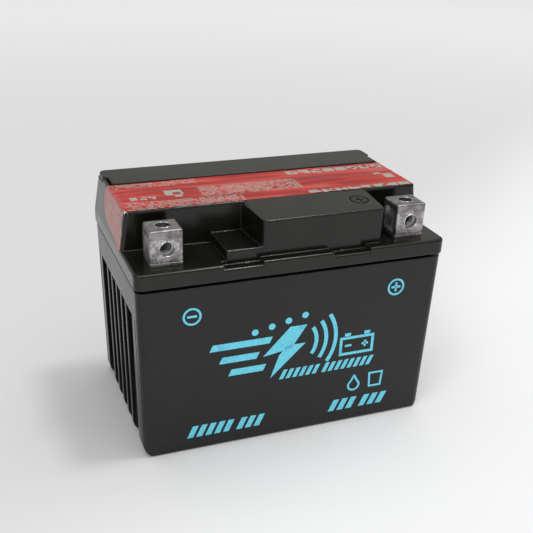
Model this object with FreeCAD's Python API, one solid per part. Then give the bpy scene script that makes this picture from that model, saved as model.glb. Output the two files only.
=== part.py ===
"""Sealed 12 volt motorcycle battery: case, cover, plate packs, terminals and cap strip.

Millimetres. X runs along the row of six cells, -Y is the front where the terminals are,
+Z is up, and the origin is at the middle of the base.
"""
import FreeCAD, Part
import math
import os

V = FreeCAD.Vector

# --- Overall size -----------------------------------------------------------------------
LENGTH = 113.0              # over the cover's skirt
WIDTH = 70.0
HEIGHT = 86.0               # to the top of the cap strip

# --- Heights of the cover above its seam --------------------------------------------------
COVER_RISE = 19.4           # seam to the top of the raised back
SKIRT_HEIGHT = 5.6          # seam to the pocket floor
STRIP_PROUD = 0.6           # cap strip above the raised back
PLATFORM_Z = HEIGHT - STRIP_PROUD
SEAM_Z = PLATFORM_Z - COVER_RISE
POCKET_Z = SEAM_Z + SKIRT_HEIGHT

# --- Case ---------------------------------------------------------------------------------
CELLS = 6
CASE_INSET = 0.4            # case inside the cover's skirt, each side
CASE_DRAFT = 0.9            # each side, from the seam to the base
CASE_WALL = 2.4             # side walls, measured at the base
CASE_FLOOR = 2.4
PARTITION = 1.5             # wall between two cells
CORNER_RADIUS = 2.8
BASE_RADIUS = 1.0           # front and back bottom edges
END_BASE_RADIUS = 5.0       # bottom edges of the two ribbed ends
SEAM_GAP = 1.0              # groove left between case and skirt
RIB_COUNT = 5
RIB_PITCH = 7.85
RIB_WIDTH = 1.8
RIB_DEPTH = 2.4
RIB_TOP_DROP = 11.9         # plain band between the seam and the ribs
RIB_FIELD_INSET = 9.0       # plain corner strip at the front and back of the ribs
CORNER_SLOT_INSET = 4.9     # narrow slot that sets off the corner
CORNER_SLOT_WIDTH = 0.8
CORNER_SLOT_DEPTH = 1.0
TONGUE = 1.2                # rim of the case that stands inside the cover
TONGUE_RISE = 3.0           # tongue above the seam
PARTITION_RISE = 1.0        # partitions above the seam

# --- Cover --------------------------------------------------------------------------------
COVER_WALL = 2.2
TONGUE_CLEARANCE = 0.1
SKIRT_EDGE_RADIUS = 0.9
SKIRT_FOOT_RADIUS = 0.5
BACK_SLOPE_ENDS = 2.1       # how far each end leans in over the raised back's height
BACK_SLOPE_REAR = 2.4
BACK_EDGE_RADIUS = 1.0
BACK_CORNER_RADIUS = 2.2
BACK_FRONT_CORNER_RADIUS = 1.4
POCKET_DEPTH = 21.3         # front of the cover to the face of the raised back
LEDGE_DEPTH = 4.0           # shelf in front of the centre block
BLOCK_LEFT_INSET = 42.8     # centre block's left face at its rear, from the cover's left end
BLOCK_LEFT_TAPER = 1.8      # how much that face closes in towards the front
BLOCK_RIGHT_INSET = 24.0    # its right face at its front, from the right end
BLOCK_RIGHT_TAPER = 0.7
BLOCK_TOP_FALL = 1.2        # its top falls this much towards the front
BLOCK_SOFT_EDGE = 2.4       # rounding of its left edges
BLOCK_EDGE_RADIUS = 0.7
STEP_BLOCK_LEFT_INSET = 32.0
STEP_BLOCK_HEIGHT = 3.4     # low block above the pocket floor
NOTCH_INNER = 12.7          # lowered stretches of the shelf, from the middle
NOTCH_OUTER = 26.7
NOTCH_DROP = 1.35
MARK_INSET_X = 29.3         # polarity ring, from the right end and from the front
MARK_INSET_Y = 12.9
MARK_RADIUS = 3.6
MARK_LINE = 0.8
MARK_DEPTH = 0.6

# --- Cap strip and its vents --------------------------------------------------------------
STRIP_THICKNESS = 2.0
STRIP_WIDTH = 16.7
STRIP_REAR_INSET = 3.5      # its back edge, from the back of the cover
STRIP_END_INSET = 2.1       # its ends, from the ends of the cover
STRIP_CORNER_RADIUS = 2.4
STRIP_NICK_RADIUS = 0.8     # rounding of the cut corners
STRIP_EDGE_RADIUS = 0.5
STRIP_SEAT_GAP = 0.05
STRIP_STEP_GAP = 0.3        # between its front edge and the step in the cover
PRY_LENGTH = 1.9            # corner cut away for a screwdriver
PRY_WIDTH = 6.9
PRY_DEPTH = 1.2
PRY_RIM = 0.8               # wall of the cover left standing outside it
PLUG_RADIUS = 4.8
PLUG_WALL = 0.9
PLUG_LENGTH = 9.0
PLUG_WEB = 1.2
PLUG_CLEARANCE = 0.08
WELL_WALL = 1.3
WELL_LENGTH = 8.5
SPIGOT_RADIUS = 1.6
SPIGOT_BORE = 0.8
SPIGOT_HEIGHT = 3.5
VALVE_WALL = 1.0
VALVE_CLEARANCE = 0.06
VALVE_SKIRT_GAP = 0.35      # under the valve's skirt at rest
ARRESTOR_THICKNESS = 1.2
ARRESTOR_DROP = 0.5         # below the strip
ARRESTOR_CLEARANCE = 0.02

# --- Seal tape ----------------------------------------------------------------------------
TAPE_THICKNESS = 0.12
TAPE_LIFT = 0.03
TAPE_FRONT_GAP = 0.5        # from the front edge of the raised back
TAPE_STRIP_GAP = 0.6        # from the cap strip
TAPE_RIGHT_GAP = 0.2        # from the flat's right edge
FLAP_DROP_REAR = 10.7       # how far the flap hangs below the raised back
FLAP_DROP_FRONT = 15.9
FLAP_REAR_OVERHANG = 3.6    # the flap spreads this far behind the tape

# --- Terminals ----------------------------------------------------------------------------
TERMINAL_END_INSET = 12.1   # centre, from the cover's end
TERMINAL_WIDTH = 11.1
TERMINAL_DEPTH = 10.4
TERMINAL_HEIGHT = 12.2
TERMINAL_FRONT_INSET = 5.4  # its front face, from the front of the cover
TERMINAL_LIFT = 0.05
TERMINAL_EDGE_RADIUS = 0.7
TERMINAL_WALL = 2.0
TERMINAL_TOP = 2.2
TERMINAL_FLOOR = 1.55
TERMINAL_SIDE = 1.2
FOOT_HEIGHT = 1.0
FOOT_GROOVE = 0.35
HOLE_RADIUS = 2.65          # clearance for an M5 screw
SHANK_RADIUS = 3.5
SHANK_CLEARANCE = 0.05
SHANK_LENGTH = 4.6
RING_SECTION = 0.9          # radius of the O-ring's section
RING_SEAT_CLEARANCE = 0.05
NUT_WIDTH = 9.0
NUT_LEG = 2.3
NUT_CLEARANCE = 0.1
NUT_TIP_ROOM = 1.0          # room below the upper leg for a screw's tip
THREAD_RADIUS = 2.1         # M5 thread, at its minor diameter
NUT_CORNER_RADIUS = 0.8

# --- Plate packs --------------------------------------------------------------------------
POSITIVE_PLATES = 2
NEGATIVE_PLATES = 3
POSITIVE_THICKNESS = 2.2
NEGATIVE_THICKNESS = 1.6
PACK_CLEARANCE = 0.15       # pack to partition, each side
PLATE_SIDE_GAP = 1.8        # plate to side wall
PLATE_FOOT_GAP = 1.0        # plate to floor
PLATE_HEADROOM = 12.0       # plate top below the seam
SEPARATOR_OVERLAP = 0.8     # separator beyond the plate at its sides
SEPARATOR_RISE = 1.8        # and at its top
LUG_WIDTH = 7.0
LUG_LENGTH = 4.0
STRAP_WIDTH = 9.0
STRAP_THICKNESS = 3.5
STRAP_REAR_INSET = 15.0     # back row of straps, from the back of the cover
TAB_THICKNESS = 2.0
TAB_HEIGHT = 7.0
WELD_RADIUS = 2.5
WELD_CLEARANCE = 0.05
POST_RADIUS = 3.0

# --- Places worked out from the sizes above -----------------------------------------------
END_X = LENGTH / 2
FRONT_Y = -WIDTH / 2
REAR_Y = WIDTH / 2
CASE_TOP_X = END_X - CASE_INSET
CASE_TOP_Y = REAR_Y - CASE_INSET
CASE_BASE_X = CASE_TOP_X - CASE_DRAFT
CASE_BASE_Y = CASE_TOP_Y - CASE_DRAFT
CAVITY_X = CASE_BASE_X - RIB_DEPTH - CASE_WALL + CASE_DRAFT
CAVITY_Y = CASE_BASE_Y - CASE_WALL
CELL_WIDTH = (2 * CAVITY_X - (CELLS - 1) * PARTITION) / CELLS
CELL_PITCH = CELL_WIDTH + PARTITION
PARTITION_Z = SEAM_Z + PARTITION_RISE
TONGUE_Z = SEAM_Z + TONGUE_RISE
BACK_BASE_Z = POCKET_Z - SKIRT_EDGE_RADIUS
BACK_TOP_X = END_X - BACK_SLOPE_ENDS
BACK_TOP_Y = REAR_Y - BACK_SLOPE_REAR
BACK_FRONT_Y = FRONT_Y + POCKET_DEPTH
BLOCK_FRONT_Y = FRONT_Y + LEDGE_DEPTH
BLOCK_LEFT_X = BLOCK_LEFT_INSET - END_X
BLOCK_RIGHT_X = END_X - BLOCK_RIGHT_INSET
STEP_BLOCK_LEFT_X = STEP_BLOCK_LEFT_INSET - END_X
STEP_BLOCK_Z = POCKET_Z + STEP_BLOCK_HEIGHT
NOTCH_Z = POCKET_Z - NOTCH_DROP
STRIP_BOTTOM_Z = HEIGHT - STRIP_THICKNESS
STRIP_SEAT_Z = STRIP_BOTTOM_Z - STRIP_SEAT_GAP
STRIP_REAR_Y = REAR_Y - STRIP_REAR_INSET
STRIP_FRONT_Y = STRIP_REAR_Y - STRIP_WIDTH
STRIP_END_X = END_X - STRIP_END_INSET
WELL_Y = (STRIP_REAR_Y + STRIP_FRONT_Y) / 2
PLUG_FLOOR_Z = STRIP_BOTTOM_Z - PLUG_LENGTH
SPIGOT_BASE_Z = PLUG_FLOOR_Z + PLUG_WEB
SPIGOT_TOP_Z = SPIGOT_BASE_Z + SPIGOT_HEIGHT
TAPE_FRONT_Y = BACK_FRONT_Y + TAPE_FRONT_GAP
TAPE_REAR_Y = STRIP_FRONT_Y - TAPE_STRIP_GAP
TERMINAL_X = END_X - TERMINAL_END_INSET
TERMINAL_FRONT_Y = FRONT_Y + TERMINAL_FRONT_INSET
TERMINAL_Y = TERMINAL_FRONT_Y + TERMINAL_DEPTH / 2
TERMINAL_BASE_Z = POCKET_Z + TERMINAL_LIFT
TERMINAL_TOP_Z = TERMINAL_BASE_Z + TERMINAL_HEIGHT
NUT_PLACE_Z = TERMINAL_BASE_Z + TERMINAL_FLOOR
NUT_SPACE_TOP_Z = TERMINAL_TOP_Z - TERMINAL_TOP
FRONT_HOLE_Z = (NUT_PLACE_Z + NUT_SPACE_TOP_Z) / 2
SHANK_BOTTOM_Z = TERMINAL_BASE_Z - SHANK_LENGTH
PLATE_BOTTOM_Z = CASE_FLOOR + PLATE_FOOT_GAP
PLATE_TOP_Z = SEAM_Z - PLATE_HEADROOM
PLATE_HALF_Y = CAVITY_Y - PLATE_SIDE_GAP
STRAP_BOTTOM_Z = PLATE_TOP_Z + LUG_LENGTH
STRAP_TOP_Z = STRAP_BOTTOM_Z + STRAP_THICKNESS
FRONT_STRAP_Y = TERMINAL_Y
REAR_STRAP_Y = REAR_Y - STRAP_REAR_INSET
WELD_Z = STRAP_TOP_Z + TAB_HEIGHT - STRAP_THICKNESS - WELD_RADIUS - 1.0
SEPARATORS = POSITIVE_PLATES + NEGATIVE_PLATES - 1
PLATE_METAL = POSITIVE_PLATES * POSITIVE_THICKNESS + NEGATIVE_PLATES * NEGATIVE_THICKNESS
SEPARATOR_THICKNESS = (CELL_WIDTH - 2 * PACK_CLEARANCE - PLATE_METAL) / SEPARATORS


# --- Shape helpers ------------------------------------------------------------------------
def box(x0, x1, y0, y1, z0, z1):
    """Box between two corners."""
    return Part.makeBox(x1 - x0, y1 - y0, z1 - z0, V(x0, y0, z0))


def post(x, y, z0, z1, radius):
    """Upright cylinder."""
    return Part.makeCylinder(radius, z1 - z0, V(x, y, z0))


def tube(x, y, z0, z1, outer, inner):
    """Upright pipe."""
    return post(x, y, z0, z1, outer).cut(post(x, y, z0, z1, inner))


def bar(axis, start, length, radius):
    """Cylinder along an axis from a start point."""
    return Part.makeCylinder(radius, length, start, axis)


def rounded_wire(corners, radii, place):
    """Closed wire through flat corners, each rounded by its radius, set in space by place."""
    points = []
    count = len(corners)
    for index, corner in enumerate(corners):
        here = V(corner[0], corner[1], 0)
        before = V(*corners[index - 1], 0) - here
        after = V(*corners[(index + 1) % count], 0) - here
        before.normalize()
        after.normalize()
        half = before.getAngle(after) / 2
        radius = radii[index]
        if radius == 0:
            points.append((here, here, here))
            continue
        reach = radius / math.tan(half)
        bisector = before + after
        bisector.normalize()
        middle = here + bisector * (radius / math.sin(half) - radius)
        points.append((here + before * reach, middle, here + after * reach))
    edges = []
    for index, (start, middle, end) in enumerate(points):
        if radii[index] > 0:
            edges.append(Part.Arc(*[place(p.x, p.y) for p in (start, middle, end)]).toShape())
        following = points[(index + 1) % count][0]
        edges.append(Part.LineSegment(place(end.x, end.y), place(following.x, following.y)).toShape())
    return Part.Wire(edges)


def upright(corners, radii, z0, z1):
    """Prism standing on a rounded plan outline."""
    wire = rounded_wire(corners, radii, lambda a, b: V(a, b, z0))
    return Part.Face(wire).extrude(V(0, 0, z1 - z0))


def along_x(corners, radii, x0, x1):
    """Prism along X over a rounded outline in Y and Z."""
    wire = rounded_wire(corners, radii, lambda a, b: V(x0, a, b))
    return Part.Face(wire).extrude(V(x1 - x0, 0, 0))


def along_y(corners, radii, y0, y1):
    """Prism along Y over a rounded outline in X and Z."""
    wire = rounded_wire(corners, radii, lambda a, b: V(a, y0, b))
    return Part.Face(wire).extrude(V(0, y1 - y0, 0))


def tapered(low, low_radii, z0, high, high_radii, z1):
    """Straight-sided block from one rounded plan outline to another."""
    bottom = rounded_wire(low, low_radii, lambda a, b: V(a, b, z0))
    top = rounded_wire(high, high_radii, lambda a, b: V(a, b, z1))
    return Part.makeLoft([bottom, top], True, True)


def plan(x0, x1, y0, y1):
    """Corners of a rectangle in plan, anticlockwise from its lowest corner."""
    return [(x0, y0), (x1, y0), (x1, y1), (x0, y1)]


def round_edges(shape, radius, chosen):
    """Fillet the edges that the test picks."""
    edges = [edge for edge in shape.Edges if chosen(edge)]
    return shape.makeFillet(radius, edges)


def fuse_all(shapes):
    """One solid from touching or overlapping shapes."""
    return shapes[0].multiFuse(shapes[1:]).removeSplitter()


def cell_left(index):
    """X of the left wall of a cell's space."""
    return -CAVITY_X + index * CELL_PITCH


def cell_middle(index):
    return cell_left(index) + CELL_WIDTH / 2


def save(name, shape):
    shape.exportStep("parts/" + name + ".step")


# --- Case ---------------------------------------------------------------------------------
def case_outside():
    """Drafted outside of the case, its base edges rounded more at the ribbed ends."""
    top_z = SEAM_Z - SEAM_GAP
    radii = [CORNER_RADIUS] * 4
    body = tapered(plan(-CASE_BASE_X, CASE_BASE_X, -CASE_BASE_Y, CASE_BASE_Y), radii, 0,
                   plan(-CASE_TOP_X, CASE_TOP_X, -CASE_TOP_Y, CASE_TOP_Y), radii, top_z)
    ends = along_y([(-CASE_BASE_X, 0), (CASE_BASE_X, 0), (CASE_TOP_X, top_z), (-CASE_TOP_X, top_z)],
                   [END_BASE_RADIUS, END_BASE_RADIUS, 0, 0], -REAR_Y, REAR_Y)
    sides = along_x([(-CASE_BASE_Y, 0), (CASE_BASE_Y, 0), (CASE_TOP_Y, top_z), (-CASE_TOP_Y, top_z)],
                    [BASE_RADIUS, BASE_RADIUS, 0, 0], -END_X, END_X)
    return body.common(ends).common(sides)


def rib_grooves():
    """Upright grooves that leave the ribs and corner strips standing on both ends."""
    field = REAR_Y - RIB_FIELD_INSET
    top = SEAM_Z - RIB_TOP_DROP
    ribs = [(index - (RIB_COUNT - 1) / 2) * RIB_PITCH for index in range(RIB_COUNT)]
    lows = [-field] + [rib + RIB_WIDTH / 2 for rib in ribs]
    highs = [rib - RIB_WIDTH / 2 for rib in ribs] + [field]
    grooves = []
    for side in (-1, 1):
        floor = side * (CASE_TOP_X - RIB_DEPTH)
        outside = side * (END_X + 1)
        near, far = min(floor, outside), max(floor, outside)
        for low, high in zip(lows, highs):
            grooves.append(box(near, far, low, high, -1, top))
        slot = side * (CASE_TOP_X - CORNER_SLOT_DEPTH)
        near, far = min(slot, outside), max(slot, outside)
        for row in (-1, 1):
            middle = row * (REAR_Y - CORNER_SLOT_INSET)
            grooves.append(box(near, far, middle - CORNER_SLOT_WIDTH / 2,
                               middle + CORNER_SLOT_WIDTH / 2, -1, top))
    return grooves


def weld_holes():
    """Hole through each partition for the weld that joins two cells."""
    holes = []
    for index in range(CELLS - 1):
        x = cell_left(index) + CELL_WIDTH - 1
        y = REAR_STRAP_Y if index % 2 == 0 else FRONT_STRAP_Y
        holes.append(bar(V(1, 0, 0), V(x, y, WELD_Z), PARTITION + 2, WELD_RADIUS + WELD_CLEARANCE))
    return holes


def case():
    """Six-cell container with ribbed ends and a tongue that the cover fits over."""
    body = case_outside().cut(rib_grooves())
    tongue = box(-CAVITY_X - TONGUE, CAVITY_X + TONGUE, -CAVITY_Y - TONGUE, CAVITY_Y + TONGUE,
                 SEAM_Z - 3 * SEAM_GAP, TONGUE_Z)
    body = fuse_all([body, tongue])
    cells = []
    for index in range(CELLS):
        x = cell_left(index)
        cells.append(box(x, x + CELL_WIDTH, -CAVITY_Y, CAVITY_Y, CASE_FLOOR, TONGUE_Z + 1))
    head = box(-CAVITY_X, CAVITY_X, -CAVITY_Y, CAVITY_Y, PARTITION_Z, TONGUE_Z + 1)
    return body.cut(cells + [head] + weld_holes())


# --- Cover --------------------------------------------------------------------------------
def skirt():
    """Base of the cover, rounded along its front shelf and at its foot."""
    body = upright(plan(-END_X, END_X, FRONT_Y, REAR_Y), [CORNER_RADIUS] * 4, SEAM_Z, POCKET_Z)

    def at(height):
        return lambda edge: abs(edge.BoundBox.ZMin - height) + abs(edge.BoundBox.ZMax - height) < 0.01

    body = round_edges(body, SKIRT_EDGE_RADIUS, at(POCKET_Z))
    return round_edges(body, SKIRT_FOOT_RADIUS, at(SEAM_Z))


def raised_back():
    """Upper part of the cover behind the terminals, leaning in on three sides."""
    low = plan(-END_X, END_X, BACK_FRONT_Y, REAR_Y)
    high = plan(-BACK_TOP_X, BACK_TOP_X, BACK_FRONT_Y, BACK_TOP_Y)
    front = BACK_FRONT_CORNER_RADIUS
    low_radii = [front, front, CORNER_RADIUS, CORNER_RADIUS]
    high_radii = [front, front, BACK_CORNER_RADIUS, BACK_CORNER_RADIUS]
    body = tapered(low, low_radii, BACK_BASE_Z, high, high_radii, PLATFORM_Z)
    return round_edges(body, BACK_EDGE_RADIUS, lambda edge: edge.BoundBox.ZMin > PLATFORM_Z - 0.01)


def centre_block():
    """Block between the pockets; its top runs level off the raised back, then falls forward."""
    rear = BACK_FRONT_Y + 2 * BACK_EDGE_RADIUS
    outline = [(BLOCK_LEFT_X + BLOCK_LEFT_TAPER, BLOCK_FRONT_Y), (BLOCK_RIGHT_X, BLOCK_FRONT_Y),
               (BLOCK_RIGHT_X + BLOCK_RIGHT_TAPER, rear), (BLOCK_LEFT_X, rear)]
    radii = [BLOCK_SOFT_EDGE, BLOCK_EDGE_RADIUS, 0, 0]
    body = upright(outline, radii, BACK_BASE_Z, PLATFORM_Z)
    front_z = PLATFORM_Z - BLOCK_TOP_FALL
    profile = [(BLOCK_FRONT_Y, BACK_BASE_Z), (rear, BACK_BASE_Z), (rear, PLATFORM_Z),
               (BACK_FRONT_Y, PLATFORM_Z), (BLOCK_FRONT_Y, front_z)]
    edge = BLOCK_EDGE_RADIUS
    body = body.common(along_x(profile, [0, 0, 0, 0, edge], BLOCK_LEFT_X - 1, BLOCK_RIGHT_X + 2))
    soft = along_y([(BLOCK_LEFT_X, BACK_BASE_Z), (END_X, BACK_BASE_Z), (END_X, PLATFORM_Z),
                    (BLOCK_LEFT_X, PLATFORM_Z)], [0, 0, 0, BLOCK_SOFT_EDGE], BLOCK_FRONT_Y, rear)
    return body.common(soft)


def step_block():
    """Low block beside the left pocket."""
    profile = [(BLOCK_FRONT_Y, BACK_BASE_Z), (BACK_FRONT_Y + 1, BACK_BASE_Z),
               (BACK_FRONT_Y + 1, STEP_BLOCK_Z), (BLOCK_FRONT_Y, STEP_BLOCK_Z)]
    right = BLOCK_LEFT_X + BLOCK_LEFT_TAPER + BLOCK_SOFT_EDGE
    return along_x(profile, [0, 0, 0, BLOCK_EDGE_RADIUS], STEP_BLOCK_LEFT_X, right)


def shelf_notches():
    """Cutters that lower two stretches of the front shelf and round their new edge."""
    profile = [(BLOCK_FRONT_Y, NOTCH_Z), (FRONT_Y, NOTCH_Z), (FRONT_Y, SEAM_Z + 1),
               (FRONT_Y - 1, SEAM_Z + 1), (FRONT_Y - 1, POCKET_Z + 1), (BLOCK_FRONT_Y, POCKET_Z + 1)]
    radii = [0, SKIRT_EDGE_RADIUS, 0, 0, 0, 0]
    return [along_x(profile, radii, -NOTCH_OUTER, -NOTCH_INNER),
            along_x(profile, radii, NOTCH_INNER, NOTCH_OUTER)]


def strip_step():
    """Step at the back of the top that the cap strip lies in, with two screwdriver slots."""
    front = STRIP_FRONT_Y - STRIP_STEP_GAP
    shoulder = STRIP_FRONT_Y + PRY_WIDTH
    rim_x = STRIP_END_X - PRY_RIM
    rim_rear = shoulder + PRY_LENGTH - PRY_RIM - STRIP_STEP_GAP
    cuts = [box(-rim_x, rim_x, front, rim_rear, STRIP_SEAT_Z, HEIGHT),
            box(-END_X, END_X, rim_rear, REAR_Y + 1, STRIP_SEAT_Z, HEIGHT)]
    for side in (-1, 1):
        near = min(side * rim_x, side * (STRIP_END_X - PRY_LENGTH))
        cuts.append(box(near, near + PRY_LENGTH - PRY_RIM, STRIP_FRONT_Y, shoulder,
                        STRIP_SEAT_Z - PRY_DEPTH, HEIGHT))
    return cuts


def cover_hollows():
    """Space inside the cover: the tongue's socket and one chamber over each cell."""
    socket_x = CAVITY_X + TONGUE + TONGUE_CLEARANCE
    socket_y = CAVITY_Y + TONGUE + TONGUE_CLEARANCE
    hollows = [box(-socket_x, socket_x, -socket_y, socket_y, SEAM_Z - 1, TONGUE_Z + TONGUE_CLEARANCE)]
    low_roof = POCKET_Z - COVER_WALL
    high_roof = STRIP_SEAT_Z - COVER_WALL
    chamber_rear = BACK_TOP_Y - COVER_WALL
    for index in range(CELLS):
        x0 = cell_left(index)
        x1 = x0 + CELL_WIDTH
        hollows.append(box(x0, x1, -CAVITY_Y, CAVITY_Y, SEAM_Z, low_roof))
        hollows.append(box(x0, x1, BACK_FRONT_Y + COVER_WALL, chamber_rear, SEAM_Z, high_roof))
        left = max(x0, BLOCK_LEFT_X + BLOCK_LEFT_TAPER + COVER_WALL)
        right = min(x1, BLOCK_RIGHT_X - COVER_WALL)
        if right - left > COVER_WALL:
            roof = PLATFORM_Z - BLOCK_TOP_FALL - COVER_WALL
            hollows.append(box(left, right, BLOCK_FRONT_Y + COVER_WALL,
                               BACK_FRONT_Y + 2 * COVER_WALL, SEAM_Z, roof))
    return hollows


def polarity_mark():
    """Ring with a plus in it, sunk into the sloping top of the block beside the positive side."""
    x = END_X - MARK_INSET_X
    y = FRONT_Y + MARK_INSET_Y
    low = PLATFORM_Z - BLOCK_TOP_FALL - 1
    ring = tube(x, y, low, HEIGHT, MARK_RADIUS, MARK_RADIUS - MARK_LINE)
    reach = MARK_RADIUS - 2 * MARK_LINE
    half = MARK_LINE / 2
    across = box(x - reach, x + reach, y - half, y + half, low, HEIGHT)
    along = box(x - half, x + half, y - reach, y + reach, low, HEIGHT)
    slope = BLOCK_TOP_FALL / (BACK_FRONT_Y - BLOCK_FRONT_Y)
    near_z = PLATFORM_Z - slope * (BACK_FRONT_Y - (y - 2 * MARK_RADIUS)) - MARK_DEPTH
    far_z = PLATFORM_Z - slope * (BACK_FRONT_Y - (y + 2 * MARK_RADIUS)) - MARK_DEPTH
    layer = along_x([(y - 2 * MARK_RADIUS, near_z), (y + 2 * MARK_RADIUS, far_z),
                     (y + 2 * MARK_RADIUS, HEIGHT), (y - 2 * MARK_RADIUS, HEIGHT)],
                    [0, 0, 0, 0], x - 2 * MARK_RADIUS, x + 2 * MARK_RADIUS)
    return [ring.common(layer), across.fuse(along).common(layer)]


def terminal_bores():
    """Hole for each terminal's shank, with the O-ring's seat at its mouth."""
    cuts = []
    for side in (-1, 1):
        x = side * TERMINAL_X
        cuts.append(post(x, TERMINAL_Y, SEAM_Z, POCKET_Z + 1, SHANK_RADIUS + SHANK_CLEARANCE))
        seat = SHANK_RADIUS + 2 * RING_SECTION + RING_SEAT_CLEARANCE
        cuts.append(post(x, TERMINAL_Y, ring_z() - RING_SECTION, POCKET_Z + 1, seat))
    return cuts


def cover():
    """Cover with terminal pockets, filler wells and walls that meet the case's partitions."""
    outside = fuse_all([skirt(), raised_back(), centre_block(), step_block()])
    shell = outside.cut(shelf_notches() + strip_step() + cover_hollows())
    walls = []
    for index in range(CELLS - 1):
        x = cell_left(index) + CELL_WIDTH
        walls.append(box(x, x + PARTITION, -CAVITY_Y + TONGUE_CLEARANCE, CAVITY_Y - TONGUE_CLEARANCE,
                         PARTITION_Z, POCKET_Z - COVER_WALL / 2))
    wells = []
    bores = []
    for index in range(CELLS):
        x = cell_middle(index)
        wells.append(post(x, WELL_Y, STRIP_SEAT_Z - WELL_LENGTH, STRIP_SEAT_Z, PLUG_RADIUS + WELL_WALL))
        bores.append(post(x, WELL_Y, SEAM_Z, HEIGHT, PLUG_RADIUS + PLUG_CLEARANCE))
    for side in (-1, 1):
        walls.append(post(side * TERMINAL_X, TERMINAL_Y, SHANK_BOTTOM_Z + TERMINAL_LIFT,
                          POCKET_Z - COVER_WALL / 2, SHANK_RADIUS + COVER_WALL))
    shell = fuse_all([shell] + walls + wells)
    return shell.cut(bores + terminal_bores() + polarity_mark())


# --- Cap strip ----------------------------------------------------------------------------
def cap_strip():
    """Flat strip over the six filler wells, with its two front corners cut for a screwdriver."""
    end, cut = STRIP_END_X, STRIP_END_X - PRY_LENGTH
    front, shoulder = STRIP_FRONT_Y, STRIP_FRONT_Y + PRY_WIDTH
    corners = [(-cut, front), (cut, front), (cut, shoulder), (end, shoulder + PRY_LENGTH),
               (end, STRIP_REAR_Y), (-end, STRIP_REAR_Y), (-end, shoulder + PRY_LENGTH), (-cut, shoulder)]
    big, small = STRIP_CORNER_RADIUS, STRIP_NICK_RADIUS
    body = upright(corners, [small, small, small, small, big, big, small, small], STRIP_BOTTOM_Z, HEIGHT)
    return round_edges(body, STRIP_EDGE_RADIUS, lambda edge: edge.BoundBox.ZMin > HEIGHT - 0.01)


def vent_plug(index):
    """Hollow plug with a web at its foot and a spigot that the valve sits on."""
    x = cell_middle(index)
    shell = tube(x, WELL_Y, PLUG_FLOOR_Z, STRIP_BOTTOM_Z, PLUG_RADIUS, PLUG_RADIUS - PLUG_WALL)
    web = post(x, WELL_Y, PLUG_FLOOR_Z, SPIGOT_BASE_Z, PLUG_RADIUS - PLUG_WALL / 2)
    spigot = post(x, WELL_Y, PLUG_FLOOR_Z, SPIGOT_TOP_Z, SPIGOT_RADIUS)
    body = fuse_all([shell, web, spigot])
    return body.cut(post(x, WELL_Y, PLUG_FLOOR_Z - 1, SPIGOT_TOP_Z + 1, SPIGOT_BORE))


def safety_valve(index):
    """Rubber cap that closes the spigot and lifts when the cell's gas presses on it."""
    x = cell_middle(index)
    inner = SPIGOT_RADIUS + VALVE_CLEARANCE
    roof = SPIGOT_TOP_Z + VALVE_CLEARANCE
    body = post(x, WELL_Y, SPIGOT_BASE_Z + VALVE_SKIRT_GAP, roof + VALVE_WALL, inner + VALVE_WALL)
    return body.cut(post(x, WELL_Y, SPIGOT_BASE_Z, roof, inner))


def flame_arrestors():
    """Porous discs pressed into the tops of the plugs, above the valves."""
    top = STRIP_BOTTOM_Z - ARRESTOR_DROP
    radius = PLUG_RADIUS - PLUG_WALL - ARRESTOR_CLEARANCE
    discs = []
    for index in range(CELLS):
        discs.append(post(cell_middle(index), WELL_Y, top - ARRESTOR_THICKNESS, top, radius))
    return Part.makeCompound(discs)


# --- Seal tape ----------------------------------------------------------------------------
def tape_section(lift):
    """Outline in X and Z that follows the cover's top and left end at a given lift."""
    lean = BACK_SLOPE_ENDS / (PLATFORM_Z - BACK_BASE_Z)
    low = SEAM_Z - SKIRT_HEIGHT
    left = -END_X - lift
    top = PLATFORM_Z + lift
    corner = left + lean * (top - BACK_BASE_Z)
    right = BACK_TOP_X - BACK_EDGE_RADIUS - TAPE_RIGHT_GAP
    corners = [(left, low), (right, low), (right, top), (corner, top), (left, BACK_BASE_Z)]
    return corners, [0, 0, 0, BACK_EDGE_RADIUS + lift, 0]


def seal_tape():
    """Thin tape on top of the raised back, folded over its left end in a ragged flap."""
    outer, outer_radii = tape_section(TAPE_LIFT + TAPE_THICKNESS)
    inner, inner_radii = tape_section(TAPE_LIFT)
    spread = TAPE_REAR_Y + FLAP_REAR_OVERHANG
    film = along_y(outer, outer_radii, TAPE_FRONT_Y, spread)
    film = film.cut(along_y(inner, inner_radii, TAPE_FRONT_Y - 1, spread + 1))
    film = film.cut(box(0, END_X, TAPE_FRONT_Y - 1, spread + 1, 0, PLATFORM_Z))
    fold_x = -BACK_TOP_X + BACK_EDGE_RADIUS
    flat = box(fold_x, END_X, TAPE_FRONT_Y, TAPE_REAR_Y, PLATFORM_Z - 1, HEIGHT)
    rear_z = PLATFORM_Z - FLAP_DROP_REAR
    tip_z = PLATFORM_Z - FLAP_DROP_FRONT
    ragged = [(TAPE_FRONT_Y, HEIGHT), (TAPE_FRONT_Y, PLATFORM_Z - 1.2),
              (TAPE_FRONT_Y + 2.8, PLATFORM_Z - 4.2), (TAPE_FRONT_Y + 0.5, PLATFORM_Z - 8.1),
              (TAPE_FRONT_Y + 0.5, tip_z + 2.8), (TAPE_FRONT_Y + 2.3, tip_z),
              (TAPE_FRONT_Y + 5.7, tip_z + 1.8), (TAPE_REAR_Y - 4.4, rear_z - 1.3),
              (TAPE_REAR_Y, rear_z), (spread, rear_z + 4.3), (spread, rear_z + 7.8),
              (TAPE_REAR_Y, PLATFORM_Z - 1.2), (TAPE_REAR_Y, HEIGHT)]
    flap = along_x(ragged, [0] * len(ragged), -END_X - 1, fold_x)
    return film.common(flat.fuse(flap))


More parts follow.
